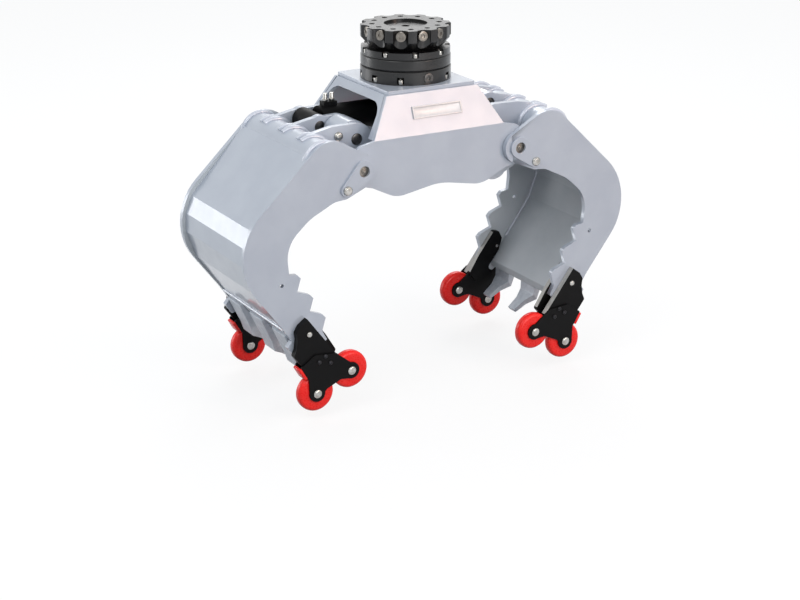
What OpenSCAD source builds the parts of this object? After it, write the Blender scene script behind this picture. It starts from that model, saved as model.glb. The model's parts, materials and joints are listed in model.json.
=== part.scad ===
// Hydraulic grab with two toothed jaws, a rotator on top and roller brackets at the jaw tips.
// The origin is the centre of the coupling's top face. X is the direction in which the jaws
// open, Y runs along the jaw pins and Z points up. Outlines of plates are drawn in X and Z
// for the right-hand jaw, and the left-hand jaw is their mirror image.

/* [Coupling and rotator] */
// Diameter of the lobed coupling, over the lobes
coupling_d = 268; // [240:1:300]
// Height of the lobed rim
coupling_rim_h = 35; // [28:1:42]
// Height of the taper below the rim
coupling_taper_h = 30; // [22:1:40]
// Diameter at the foot of the taper
coupling_foot_d = 216; // [196:1:222]
// Number of lobes, rim screws and mounting holes
lobe_count = 12; // [8:1:14]
// Number of bolts in the shaft flange
flange_bolt_count = 9; // [6:1:12]
// Number of places in the base ring, one of them for the port plug
base_bolt_count = 10; // [6:1:12]
// Diameter of the round notch between two lobes, where a rim screw sits
lobe_notch_d = 48; // [42:1:52]
// Depth of that notch, from the lobes inwards
lobe_notch_depth = 17; // [10:1:19]
// Diameter of the circle of mounting holes
mount_circle_d = 200; // [180:1:206]
// Diameter of each mounting hole
mount_hole_d = 17; // [11:0.5:18]
// Diameter of the recess in the coupling's top face
recess_d = 128; // [100:1:150]
// Depth of that recess
recess_depth = 9; // [4:1:16]
// Diameter of the supply port in the middle of the recess
supply_port_d = 24; // [16:1:50]
// Diameter of the bolted shaft flange
flange_d = 264; // [250:1:268]
// Thickness of the shaft flange
flange_h = 20; // [14:1:26]
// Diameter of the rotator's shaft
shaft_d = 96; // [70:1:120]
// Running clearance between the shaft and its bore, on the radius
shaft_clear = 0.05; // [0.02:0.01:0.1]
// Diameter of the collar that carries the load under the bearing
collar_d = 128; // [110:1:150]
// Thickness of that collar
collar_h = 14; // [10:1:18]
// Diameter of the rotator housing
housing_d = 267; // [256:1:276]
// Height of the rotator housing
housing_h = 35; // [28:1:45]
// Step from the housing out to the ring below it, on the radius
base_ring_step = 1; // [0:0.5:4]
// Height of the ring below the housing
base_ring_h = 38; // [34:1:50]
// Axial gap between the turning pieces of the rotator
turn_gap = 1; // [0.5:0.1:2]

/* [Frame] */
// Length of the top plate along X
top_len = 294; // [270:1:310]
// Width of the top plate along Y
top_w = 308; // [290:1:320]
// Thickness of the frame's plates
frame_t = 11; // [8:1:14]
// Height from the top plate's face down to the fold of the side plates
slope_h = 126; // [110:1:140]
// Length of the frame at the fold
fold_len = 438; // [420:1:450]
// Width of the frame at the fold
fold_w = 406; // [400:1:412]
// Depth of the frame's lower edge below the jaw pins, at its two bellies
belly_drop = 100; // [88:1:110]
// Distance of a belly from the middle
belly_x = 145; // [130:1:160]
// Height of the arch between the bellies
belly_rise = 26; // [16:1:32]
// Width of the openings for the jaw lugs, at their foot
mouth_w = 336; // [320:1:346]
// Width of those openings at their top
mouth_top_w = 290; // [276:1:300]
// Width of the frame plate left above the openings
mouth_edge = 36; // [24:1:44]

/* [Jaw pins] */
// Distance between the two jaw pins
pin_span = 528; // [520:1:536]
// Height of the jaw pins below the coupling's top face
pin_drop = 362; // [356:1:368]
// Diameter of the jaw pins
pin_d = 50; // [40:1:56]
// Running clearance between a pin and its bush, on the radius
pin_clear = 0.05; // [0.02:0.01:0.1]
// Wall of the bronze bushes
bush_wall = 7; // [4:0.5:9]
// Radius of the frame's ears round the jaw pins
ear_r = 49; // [46:1:52]
// Length of the boss behind each ear
boss_len = 16; // [10:1:24]
// Thickness of the keeper plates
keeper_t = 8; // [5:1:10]
// Diameter of the hole in each keeper plate, over the pin's grease nipple
keeper_hole_d = 33; // [24:1:40]

/* [Jaws] */
// Distance between the outer faces of a jaw's side plates
jaw_w = 441; // [436:1:446]
// Thickness of the side plates
side_t = 16; // [12:1:17]
// Distance from a jaw pin to the torque tube's axis, along X
tube_x = 118; // [114:1:124]
// Height of the torque tube's axis above the jaw pin
tube_z = 35; // [30:1:40]
// Diameter of the torque tube
tube_d = 120; // [110:1:124]
// Wall of the torque tube
tube_wall = 14; // [8:1:20]
// Thickness of the back sheet
sheet_t = 22; // [14:1:26]
// Length of the cutting edge bar along the jaw
lip_len = 108; // [90:1:120]
// Thickness of the cutting edge bar
lip_t = 25; // [20:1:28]
// Number of side teeth on each side plate
side_tooth_count = 3; // [2:1:3]
// Diameter of the small hole in each side plate
side_hole_d = 12; // [8:1:18]
// Number of digging teeth on each jaw
dig_tooth_count = 3; // [1:2:3]
// Distance between the digging teeth
dig_tooth_pitch = 136; // [130:1:137]
// Width of a digging tooth's strap on the cutting edge bar
dig_tooth_w = 126; // [110:1:127]
// Width of a digging tooth at its tip
dig_tip_w = 38; // [26:1:46]

/* [Lugs, cylinder and link] */
// Distance of the outer lugs from the middle lug
lug_pitch = 118; // [112:1:122]
// Thickness of the lugs
lug_t = 20; // [14:1:24]
// Diameter of the pins in the lugs
lug_pin_d = 34; // [26:1:36]
// Offset of the link pins from the jaw pins, towards the middle
link_dx = 29; // [24:1:34]
// Height of the link pin above the jaw pin
link_dz = 69; // [64:1:74]
// Radius of the link's eyes
link_eye_r = 50; // [44:1:54]
// Height of the link's bar
link_bar_h = 64; // [50:1:74]
// Offset of the cylinder pins from the jaw pins, outwards
cyl_dx = 28; // [22:1:32]
// Height of the cylinder pins above the jaw pins
cyl_dz = 87; // [84:1:90]
// Outer diameter of the cylinder's barrel
barrel_d = 88; // [76:1:90]
// Bore of the barrel
bore_d = 70; // [56:1:72]
// Diameter of the piston rod
rod_d = 45; // [32:1:50]
// Radius of the cylinder's eyes
cyl_eye_r = 34; // [32:1:40]
// Running clearance in the cylinder, on the radius
cyl_clear = 0.05; // [0.02:0.01:0.1]
// Gap left and right of a link or cylinder eye between its lugs
eye_side_gap = 4; // [2:0.5:8]
// Clearance round the pin at the link's open pivot, on the radius
link_clear = 5.5; // [5:0.1:7]
// Clearance round the pin at the rod's open pivot, on the radius
rod_clear = 3; // [2.6:0.1:4]

/* [Roller brackets] */
// Thickness of the outer cheeks
cheek_t = 20; // [16:1:22]
// Thickness of the inner cheeks
inner_cheek_t = 16; // [10:1:18]
// Thickness of the roller carrier plates
carrier_t = 5; // [4:0.5:6]
// Diameter of the rollers
roller_d = 114; // [100:1:115]
// Rounding of the rollers' edges
roller_round = 11; // [6:1:14]
// Diameter of the roller axles
axle_d = 24; // [18:1:28]
// Running clearance between a roller and its axle, on the radius
axle_clear = 0.05; // [0.02:0.01:0.1]
// Gap at each side of a roller
roller_gap = 0.6; // [0.4:0.1:1.5]
// Thickness of the guard pads
pad_t = 9; // [6:1:12]

/* [Hidden] */
$fn = 48;

// Heights in the rotator, from the top down
rim_z = -coupling_rim_h;
foot_z = rim_z - coupling_taper_h;
flange_z = foot_z - flange_h;
housing_top_z = flange_z - turn_gap;
housing_foot_z = housing_top_z - housing_h;
plate_z = housing_foot_z - base_ring_h;
shaft_foot_z = housing_foot_z - turn_gap - collar_h;
// Radius and angle step of the bolts in the shaft flange and the base ring
base_ring_d = housing_d + 2 * base_ring_step;
flange_bolt_r = flange_d / 2 - 8;
base_bolt_r = base_ring_d / 2 - 9;
lobe_step = 360 / lobe_count;
notch_turn = -6;
notch_foot_r = coupling_d / 2 - lobe_notch_depth;
screw_seat_r = notch_foot_r - 2;
flange_bolt_turn = -107;
// The port plug takes one of the base bolts' places, at the front
port_angle = -90;
base_bolt_step = 360 / base_bolt_count;

// Jaw pin, torque tube and lug pins in X and Z
pin_x = pin_span / 2;
pin_z = -pin_drop;
tube_c = [pin_x + tube_x, pin_z + tube_z];
link_upper = [pin_x - link_dx, pin_z + link_dz];
link_lower = [pin_x - link_dx, pin_z - link_dz];
cyl_pin = [pin_x + cyl_dx, pin_z + cyl_dz];

// Layers along Y, from the middle outwards
side_out = jaw_w / 2;
side_in = side_out - side_t;
frame_out = fold_w / 2;
frame_in = frame_out - frame_t;
bush_d = pin_d + 2 * bush_wall;
boss_in = frame_in - boss_len;
keeper_out = side_out + keeper_t;
bay_mid = lug_pitch / 2;
eye_w = lug_pitch - lug_t - 2 * eye_side_gap;
cheek_out = side_out + 0.4 + cheek_t;
inner_cheek_out = side_in - 0.4;
inner_cheek_in = inner_cheek_out - inner_cheek_t;
carrier_in = inner_cheek_out + 0.4;
carrier_out = cheek_out + 0.2 + carrier_t;
roller_in = carrier_in + carrier_t + roller_gap;
roller_out = carrier_out - carrier_t - roller_gap;
roller_w = roller_out - roller_in;

// Fold of the frame and the lean of its sloping plates
fold_z = plate_z - slope_h;
slope_run_y = (fold_w - top_w) / 2;
slope_run_x = (fold_len - top_len) / 2;
slope_lean_y = atan(slope_run_y / slope_h);
slope_lean_x = atan(slope_run_x / slope_h);

// Outer face of the back sheet, from the torque tube down to its foot. The corners follow the
// side plate's edge at a small inset. The sheet's upper edge is bevelled along a tangent of the
// tube, at the angle seam_turn past the line where the sheet's outer face meets the tube.
sheet_out = [0.739, 0.673];
seam_turn = 30;
sheet_fold_a = [613, -490];
sheet_fold_b = [634, -541];
sheet_fold_c = [636, -598];
sheet_fold_d = [606, -680];
lip_dir = [-0.589, -0.808];
lip_end = [453, -890];
lip_gap = 0.3;
lip_top = lip_end - lip_len * lip_dir;

// Roller axles and the corners of the roller carriers
roller_inner_c = [321, -950];
roller_outer_c = [434, -1001];
carrier_end_r = 25;
carrier_edge_a = [486, -912];
carrier_edge_b = [460, -956];
cheek_bolt_c = [455, -815];
carrier_screws_at = [[407, -889], [427, -904], [391, -912]];
dome_h = 6;

// Radius of a side plate round its pin, and the keeper bolt's place
boss_r = 48;
keeper_bolt_c = [pin_x + 55, pin_z - 48];
lug_bolt_c = cyl_pin + [3, -2];

// Fasteners and small fittings
rim_screw_d = 29;
rim_screw_h = 12;
flange_bolt_d = 16;
base_bolt_d = 18;
pocket_extra = 6;
pocket_shift = 2;
keeper_bolt_d = 16;
bracket_bolt_d = 10;
carrier_screw_d = 8;
lug_bolt_d = 16;
nipple_d = 8;
port_plug_d = 30;
port_plug_len = 12;
bush_rim = 0.6;

// Nameplate and the manifold under the top plate
nameplate_w = 164;
nameplate_h = 36;
nameplate_x = 2;
nameplate_drop = 70;
manifold_len = 150;
manifold_w = 110;
manifold_h = 34;
manifold_x = -40;

// Heel blocks on the tips of the side plates, from the foot of the plate's outer edge
heel_w = 19;
heel_from = 18;
heel_to = 68;
heel_h = 22;
heel_foot = [463, -891];
heel_run = [0.5527, 0.8334];

// Unit vector of the line from a to b, and that vector turned a quarter to the left
function unit(a, b) = (b - a) / norm(b - a);
function left_of(d) = [-d[1], d[0]];

// Corner of an outline, rounded to radius r by an arc of n steps
function corner(a, p, b, r, n) =
    r == 0 ? [p] :
    let(u = unit(p, a),
        w = unit(p, b),
        half = acos(max(-1, min(1, u * w))) / 2,
        reach = r / tan(half),
        centre = p + (u + w) / norm(u + w) * r / sin(half),
        from = p + u * reach - centre,
        to = p + w * reach - centre,
        a0 = atan2(from[1], from[0]),
        turn = atan2(to[1], to[0]) - a0,
        sweep = turn > 180 ? turn - 360 : turn < -180 ? turn + 360 : turn)
    [for (i = [0:n]) centre + r * [cos(a0 + sweep * i / n), sin(a0 + sweep * i / n)]];

// Outline from rows of [x, z, radius]
function rounded(rows) =
    let(k = len(rows))
    [for (i = [0:k - 1])
        let(a = rows[(i + k - 1) % k], p = rows[i], b = rows[(i + 1) % k])
        for (q = corner([a[0], a[1]], [p[0], p[1]], [b[0], b[1]], p[2], p[2] > 50 ? 14 : 6)) q];

// The line p moved sideways by d, with mitred corners
function moved(p, d) =
    let(k = len(p))
    [for (i = [0:k - 1])
        let(u = unit(p[max(i - 1, 0)], p[max(i, 1)]),
            w = unit(p[min(i, k - 2)], p[min(i + 1, k - 1)]),
            m = left_of(u) + left_of(w))
        p[i] + m / (m * m) * 2 * d];

// A plate whose outline is drawn in X and Z, from y_from to y_to
module plate(y_from, y_to) {
    translate([0, y_to, 0])
        rotate([90, 0, 0])
            linear_extrude(y_to - y_from)
                children();
}

// A round bar along Y through the point c of the X-Z plane
module bar(c, d, y_from, y_to) {
    translate([c[0], y_to, c[1]])
        rotate([90, 0, 0])
            cylinder(d = d, h = y_to - y_from);
}

// The same shape on the far side, at +Y, as well
module both_sides() {
    children();
    mirror([0, 1, 0])
        children();
}

// A piece drawn for the right-hand jaw, for the jaw named by side: 1 right, -1 left
module jaw(side) {
    if (side > 0)
        children();
    else
        mirror([1, 0, 0])
            children();
}

// Copies round the Z axis at radius r
module ring_of(count, r, phase = 0) {
    for (i = [0:count - 1])
        rotate([0, 0, phase + i * 360 / count])
            translate([r, 0, 0])
                children();
}

// A bolt head with a domed top, along -Y, its seat at y = 0
module dome_head(d, h) {
    rotate([90, 0, 0])
        rotate_extrude()
            polygon([[0, 0], [d / 2, 0], [d / 2, h * 0.45], [d * 0.36, h * 0.85], [0, h]]);
}

// Rotator: the coupling that bolts to the crane

module top_coupling() {
    color("dimgray")
    difference() {
        rotate_extrude($fn = 96)
            polygon([[0, 0], [coupling_d / 2 - 2, 0], [coupling_d / 2, -2],
                     [coupling_d / 2, rim_z], [coupling_foot_d / 2, foot_z], [0, foot_z]]);
        // round notches between the lobes, with a flat seat for each rim screw
        ring_of(lobe_count, notch_foot_r + lobe_notch_d / 2, notch_turn)
            translate([0, 0, foot_z - 1])
                cylinder(d = lobe_notch_d, h = -foot_z + 2);
        ring_of(lobe_count, screw_seat_r, notch_turn)
            translate([0, 0, rim_z / 2])
                rotate([0, 90, 0])
                    cylinder(d = rim_screw_d + 2, h = coupling_d / 2);
        // recess and supply port
        translate([0, 0, -recess_depth])
            cylinder(d = recess_d, h = recess_depth + 1);
        translate([0, 0, foot_z - 1])
            cylinder(d = supply_port_d, h = -foot_z + 2);
        // mounting holes, one in each lobe
        ring_of(lobe_count, mount_circle_d / 2, notch_turn + lobe_step / 2)
            translate([0, 0, rim_z + 4])
                cylinder(d = mount_hole_d, h = coupling_rim_h);
    }
}

module coupling_screws() {
    color("silver")
    ring_of(lobe_count, screw_seat_r, notch_turn)
        translate([0, 0, rim_z / 2])
            rotate([0, 90, 0])
                difference() {
                    cylinder(d = rim_screw_d, h = rim_screw_h);
                    translate([0, 0, rim_screw_h - 4])
                        cylinder(d = rim_screw_d * 0.4, h = 5, $fn = 6);
                }
}

module swivel_shaft() {
    color("dimgray")
    difference() {
        union() {
            translate([0, 0, flange_z])
                cylinder(d = flange_d, h = flange_h, $fn = 96);
            translate([0, 0, shaft_foot_z])
                cylinder(d = shaft_d, h = flange_z - shaft_foot_z + 1, $fn = 96);
            translate([0, 0, shaft_foot_z])
                cylinder(d = collar_d, h = collar_h, $fn = 96);
        }
        // bolt notches in the flange's rim
        ring_of(flange_bolt_count, flange_bolt_r + pocket_shift, flange_bolt_turn)
            translate([0, 0, flange_z + 6])
                cylinder(d = flange_bolt_d + pocket_extra, h = flange_h);
        translate([0, 0, shaft_foot_z - 1])
            cylinder(d = supply_port_d, h = foot_z - shaft_foot_z + 2);
    }
}

module flange_bolts() {
    color("silver")
    ring_of(flange_bolt_count, flange_bolt_r, flange_bolt_turn)
        translate([0, 0, flange_z + 6])
            difference() {
                cylinder(d = flange_bolt_d, h = 11);
                translate([0, 0, 6])
                    cylinder(d = flange_bolt_d * 0.5, h = 6, $fn = 6);
            }
}

module rotator_housing() {
    color("dimgray")
    translate([0, 0, housing_foot_z])
        difference() {
            rotate_extrude($fn = 96)
                polygon([[0, 0], [housing_d / 2 - 3, 0], [housing_d / 2 - 3, 3],
                         [housing_d / 2, 5], [housing_d / 2, housing_h - 3],
                         [housing_d / 2 - 3, housing_h], [0, housing_h]]);
            translate([0, 0, -1])
                cylinder(r = shaft_d / 2 + shaft_clear, h = housing_h + 2, $fn = 96);
        }
}

// A child turned to the port in the base ring's wall, its X axis pointing out of the port
module at_port() {
    translate([0, 0, plate_z + base_ring_h / 2])
        rotate([0, 0, port_angle])
            translate([base_ring_d / 2 - port_plug_len, 0, 0])
                rotate([0, 90, 0])
                    children();
}

module port_plugs() {
    color("gray")
    at_port()
        difference() {
            cylinder(d = port_plug_d - 0.2, h = port_plug_len + 2);
            translate([0, 0, port_plug_len - 3])
                cylinder(d = port_plug_d * 0.45, h = 6, $fn = 6);
        }
}

// Copies at the base bolts' places, past the port
module base_bolt_places(r) {
    for (i = [1:base_bolt_count - 1])
        rotate([0, 0, port_angle + i * base_bolt_step])
            translate([r, 0, 0])
                children();
}

module base_ring() {
    pocket_h = 20;
    color("dimgray")
    difference() {
        translate([0, 0, plate_z])
            rotate_extrude($fn = 96)
                polygon([[0, 0], [base_ring_d / 2, 0], [base_ring_d / 2, base_ring_h - 2],
                         [base_ring_d / 2 - 2, base_ring_h], [0, base_ring_h]]);
        // chamber of the load collar and the way through for the hoses
        translate([0, 0, housing_foot_z - collar_h - 2 * turn_gap])
            cylinder(d = collar_d + 4, h = collar_h + 2 * turn_gap + 1, $fn = 96);
        translate([0, 0, plate_z - 1])
            cylinder(d = supply_port_d + 24, h = base_ring_h);
        // pockets of the base bolts
        base_bolt_places(base_bolt_r + pocket_shift)
            translate([0, 0, plate_z + 4])
                cylinder(d = base_bolt_d + pocket_extra, h = pocket_h);
        at_port()
            cylinder(d = port_plug_d, h = port_plug_len + 2);
    }
}

module base_bolts() {
    color("silver")
    base_bolt_places(base_bolt_r)
        translate([0, 0, plate_z + 4])
            difference() {
                cylinder(d = base_bolt_d, h = 12);
                translate([0, 0, 6])
                    cylinder(d = base_bolt_d * 0.5, h = 7, $fn = 6);
            }
}

// Frame: the welded box between the rotator and the jaw pins

module top_plate() {
    color("lightsteelblue")
    translate([0, 0, plate_z - frame_t])
        difference() {
            linear_extrude(frame_t)
                polygon(rounded([[-top_len / 2, -top_w / 2, 6], [top_len / 2, -top_w / 2, 6],
                                 [top_len / 2, top_w / 2, 6], [-top_len / 2, top_w / 2, 6]]));
            translate([0, 0, -1])
                cylinder(d = supply_port_d + 24, h = frame_t + 2);
        }
}

// Outline of a side plate seen from the front: slope, ears and bellies
side_plate_rows = concat(
    [[-top_len / 2 - slope_run_x * frame_t / slope_h, plate_z - frame_t, 0],
     [-fold_len / 2, fold_z, 0], [-fold_len / 2 - 48, fold_z - 10, 24],
     [-pin_x - ear_r * 0.78, pin_z + ear_r * 0.62, 0],
     [-pin_x - ear_r * 0.30, pin_z - ear_r * 0.95, 0],
     [-pin_x + 40, pin_z - ear_r - 12, 30], [-belly_x, pin_z - belly_drop, 90],
     [0, pin_z - belly_drop + belly_rise, 200], [belly_x, pin_z - belly_drop, 90],
     [pin_x - 40, pin_z - ear_r - 12, 30], [pin_x + ear_r * 0.30, pin_z - ear_r * 0.95, 0],
     [pin_x + ear_r * 0.78, pin_z + ear_r * 0.62, 0],
     [fold_len / 2 + 48, fold_z - 10, 24], [fold_len / 2, fold_z, 0],
     [top_len / 2 + slope_run_x * frame_t / slope_h, plate_z - frame_t, 0]]);

// A folded sheet: its cross-section in Y and Z, cut to the outline
module side_plate() {
    top_out = top_w / 2 + slope_run_y * frame_t / slope_h;
    top_in = top_out - frame_t / cos(slope_lean_y);
    inner_fold_z = plate_z - frame_t - (frame_in - top_in) / tan(slope_lean_y);
    foot = pin_z - 2 * belly_drop;
    difference() {
        union() {
            intersection() {
                rotate([90, 0, 90])
                    translate([0, 0, -fold_len])
                        linear_extrude(2 * fold_len)
                            polygon([[-top_out, plate_z - frame_t], [-frame_out, fold_z],
                                     [-frame_out, foot], [-frame_in, foot],
                                     [-frame_in, inner_fold_z], [-top_in, plate_z - frame_t]]);
                plate(-frame_out - 1, -top_w / 4)
                    union() {
                        polygon(rounded(side_plate_rows));
                        for (s = [-1, 1])
                            translate([s * pin_x, pin_z])
                                circle(r = ear_r);
                    }
            }
            for (s = [-1, 1])
                bar([s * pin_x, pin_z], 2 * ear_r - 6, -frame_in - 4, -boss_in);
        }
        for (s = [-1, 1])
            bar([s * pin_x, pin_z], bush_d, -frame_out - 1, -boss_in + 1);
    }
}

module front_plate() {
    color("lightsteelblue")
        side_plate();
}

module rear_plate() {
    color("lightsteelblue")
        mirror([0, 1, 0])
            side_plate();
}

// Sloping plate at the frame's end, flush under the top plate, with its opening
module end_plate() {
    out = top_len / 2 + slope_run_x * frame_t / slope_h;
    height = (slope_h - frame_t) / cos(slope_lean_x);
    spare = 2 * frame_t * tan(slope_lean_x);
    top_half = top_w / 2 - frame_t;
    fold_half = frame_in - 1;
    widen = (fold_half - top_half) / height * spare;
    difference() {
        translate([out, 0, plate_z - frame_t])
            rotate([90 - slope_lean_x, 0, 90])
                translate([0, 0, -frame_t])
                    linear_extrude(frame_t)
                        difference() {
                            polygon([[-top_half + widen, spare], [top_half - widen, spare],
                                     [fold_half, -height], [-fold_half, -height]]);
                            polygon(rounded([[-mouth_w / 2, -height - frame_t, 0],
                                             [-mouth_top_w / 2, frame_t - mouth_edge, 52],
                                             [mouth_top_w / 2, frame_t - mouth_edge, 52],
                                             [mouth_w / 2, -height - frame_t, 0]]));
                        }
        translate([0, -fold_len, plate_z - frame_t])
            cube([fold_len, 2 * fold_len, 2 * frame_t]);
    }
}

module end_plates() {
    color("lightsteelblue") {
        end_plate();
        mirror([1, 0, 0])
            end_plate();
    }
}

module nameplate() {
    color("gainsboro")
    translate([nameplate_x, -top_w / 2, plate_z])
        rotate([90 - slope_lean_y, 0, 0])
            translate([0, -nameplate_drop, 0])
                difference() {
                    linear_extrude(5)
                        square([nameplate_w, nameplate_h], center = true);
                    translate([0, 0, 3])
                        linear_extrude(3)
                            square([nameplate_w - 8, nameplate_h - 8], center = true);
                }
}

module frame_bushes() {
    color("goldenrod")
    both_sides()
        for (s = [-1, 1])
            difference() {
                bar([s * pin_x, pin_z], bush_d - 0.02, -frame_out - bush_rim, -boss_in);
                bar([s * pin_x, pin_z], pin_d + 2 * pin_clear, -side_in - 1, -boss_in + 1);
            }
}

module manifold() {
    color("dimgray")
    translate([manifold_x, bay_mid, plate_z - frame_t - manifold_h / 2])
        difference() {
            cube([manifold_len, manifold_w, manifold_h], center = true);
            for (s = [-1, 1])
                translate([-manifold_len / 2, s * manifold_w / 5, 0])
                    rotate([0, 90, 0])
                        cylinder(d = 16, h = 24, center = true);
        }
}

module manifold_fittings() {
    color("silver")
    translate([manifold_x - manifold_len / 2, bay_mid, plate_z - frame_t - manifold_h / 2])
        for (s = [-1, 1])
            translate([0, s * manifold_w / 5, 0])
                rotate([0, -90, 0]) {
                    cylinder(d = 24, h = 12, $fn = 6);
                    cylinder(d = 15.8, h = 26);
                    translate([0, 0, -11])
                        cylinder(d = 15.8, h = 12);
                }
}

// Jaws: side plates, back sheet, torque tube, lugs, cutting edge and teeth

// First valley between the side teeth, and the step from one valley to the next
valley = [481, -688];
valley_step = [-39, -66];
side_tooth_tip = [[-1, 51], [-12, 39]];
side_hole_c = [529, -662];

function side_teeth() =
    [for (i = [side_tooth_count - 1:-1:0])
        let(v = valley + i * valley_step)
        for (q = [v, v + side_tooth_tip[1], v + side_tooth_tip[0]]) [q[0], q[1], 0]];

// The outline meets the round end at the pin a little inside its tangent points
pin_c = [pin_x, pin_z];
boss_top = pin_c + (boss_r - 0.6) * [-0.522, 0.853];
boss_foot = pin_c + (boss_r - 0.6) * [-0.389, -0.921];
side_outline = concat(
    [[boss_top[0], boss_top[1], 0], [378, -243, 82], [707, -559, 180], [526, -796, 60],
     [463, -891, 8], [446, -903, 8], [388, -848, 0]],
    side_teeth(),
    [[505, -634, 0], [514, -548, 100], [437, -479, 150], [357, -440, 60], [318, -437, 12],
     [boss_foot[0], boss_foot[1], 0]]);

module side() {
    color("lightsteelblue")
    difference() {
        plate(-side_out, -side_in)
            union() {
                polygon(rounded(side_outline));
                translate([pin_x, pin_z])
                    circle(r = boss_r);
            }
        bar([pin_x, pin_z], pin_d + 0.02, -side_out - 1, -side_in + 1);
        bar(side_hole_c, side_hole_d, -side_out - 1, -side_in + 1);
        bar(cheek_bolt_c, bracket_bolt_d + 0.02, -side_out - 1, -side_in + 1);
        bar(keeper_bolt_c, keeper_bolt_d + 0.02, -side_out - 1, -side_in + 1);
    }
}

module side_pair(side_of, far) {
    jaw(side_of)
        if (far)
            mirror([0, 1, 0])
                side();
        else
            side();
}

module torque_tube() {
    color("lightsteelblue")
    difference() {
        bar(tube_c, tube_d, -side_in, side_in);
        bar(tube_c, tube_d - 2 * tube_wall, -side_in - 1, side_in + 1);
    }
}

// Point of the sheet's bevelled upper edge at a depth below its outer face
function seam_at(depth) =
    let(along = -left_of(sheet_out),
        touch = (tube_d / 2 + 0.3) * (cos(seam_turn) * sheet_out + sin(seam_turn) * along),
        sunk = tube_d / 2 - touch * sheet_out,
        bevel = cos(seam_turn) * along - sin(seam_turn) * sheet_out)
    tube_c + touch + (depth - sunk) / sin(seam_turn) * bevel;

module back_sheet() {
    outer = [seam_at(0), sheet_fold_a, sheet_fold_b, sheet_fold_c, sheet_fold_d,
             lip_top - lip_gap * lip_dir];
    inner = moved(outer, -sheet_t);
    color("lightsteelblue")
    plate(-side_in, side_in)
        polygon(concat(outer, [for (i = [len(inner) - 1:-1:1]) inner[i]], [seam_at(sheet_t)]));
}

module lip() {
    inward = lip_t * left_of(-lip_dir);
    heel_out = -left_of(heel_run);
    color("lightsteelblue") {
        plate(-side_in, side_in)
            polygon([lip_top, lip_end, lip_end + inward, lip_top + inward]);
        both_sides()
            plate(-side_out, -side_out + heel_w)
                polygon([for (q = [[heel_from, 0.4], [heel_to, 0.4], [heel_to - 6, heel_h],
                                   [heel_from + 6, heel_h]])
                    heel_foot + q[0] * heel_run + q[1] * heel_out]);
    }
}

// Wedge of a digging tooth in X and Z: top face, tip, heel, and the strap on the bar's face
tooth_wedge = [[447, -889], [387, -958], [380, -968], [432, -943], [488, -901], [507, -872],
               [510, -828], lip_end - 77 * lip_dir, lip_end];

// Half of the tooth's width at distances along it, from the strap to the tip
tooth_plan = [[-10, dig_tooth_w / 2], [26, dig_tooth_w / 2], [88, 46], [134, dig_tip_w / 2 + 7],
              [200, dig_tip_w / 2]];
tooth_root = [510, -826];
tooth_turn = 133;

module digging_teeth() {
    color("gray")
    for (i = [0:dig_tooth_count - 1])
        translate([0, (i - (dig_tooth_count - 1) / 2) * dig_tooth_pitch, 0])
            intersection() {
                plate(-dig_tooth_w / 2 - 1, dig_tooth_w / 2 + 1)
                    polygon(tooth_wedge);
                translate([tooth_root[0], 0, tooth_root[1]])
                    rotate([0, tooth_turn, 0])
                        translate([0, 0, -100])
                            linear_extrude(200)
                                polygon(concat(tooth_plan,
                                    [for (k = [len(tooth_plan) - 1:-1:0])
                                        [tooth_plan[k][0], -tooth_plan[k][1]]]));
            }
}

// Lug outline from the eye to the torque tube; the lower ear is for the link's far end
lug_ear = [[link_upper[0] + 4, link_upper[1] + link_eye_r - 2.2], [316, -247], [392, -262],
           [414, -292], [400, -340], [340, -366], [link_upper[0], link_upper[1] - link_eye_r + 2]];
lower_ear = [[376, -270], [330, -300], [link_lower[0] - 44, link_lower[1] + 17],
             [link_lower[0], link_lower[1] - link_eye_r + 2], [350, -424], [404, -360]];

module lug(lower, cyl, bolted) {
    difference() {
        union() {
            polygon(lug_ear);
            translate(link_upper)
                circle(r = link_eye_r - 2);
            if (lower) {
                polygon(lower_ear);
                translate(link_lower)
                    circle(r = link_eye_r - 2);
            }
            if (cyl)
                translate(cyl_pin)
                    circle(r = lug_pin_d);
        }
        translate(tube_c)
            circle(d = tube_d);
        translate(link_upper)
            circle(d = lug_pin_d + 0.02);
        if (lower)
            translate(link_lower)
                circle(d = lug_pin_d + 0.02);
        if (cyl)
            translate(cyl_pin)
                circle(d = lug_pin_d + 0.02);
        if (bolted)
            translate(lug_bolt_c)
                circle(d = lug_bolt_d + 0.02);
    }
}

module lugs(lower) {
    color("lightsteelblue") {
        plate(-lug_pitch - lug_t / 2, -lug_pitch + lug_t / 2)
            lug(lower, false, !lower);
        plate(-lug_t / 2, lug_t / 2)
            lug(lower, true, false);
        plate(lug_pitch - lug_t / 2, lug_pitch + lug_t / 2)
            lug(false, true, false);
    }
}

module jaw_pins() {
    color("silver")
    both_sides() {
        bar(pin_c, pin_d, -side_out, -boss_in - 2);
        bar(pin_c, nipple_d, -side_out - 6, -side_out + 1);
        translate([pin_x, -side_out + 1, pin_z])
            rotate([90, 0, 0])
                cylinder(d = nipple_d * 1.9, h = 4, $fn = 6);
    }
}

// Pins of the lugs: the link's pin at c, and the cylinder's pin
module lug_pins(c) {
    color("silver") {
        bar(c, lug_pin_d, -lug_pitch - lug_t / 2 - 2, lug_t / 2 + 2);
        bar(cyl_pin, lug_pin_d, -lug_t / 2 + 4, lug_pitch + lug_t / 2 + 2);
    }
}

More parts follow.
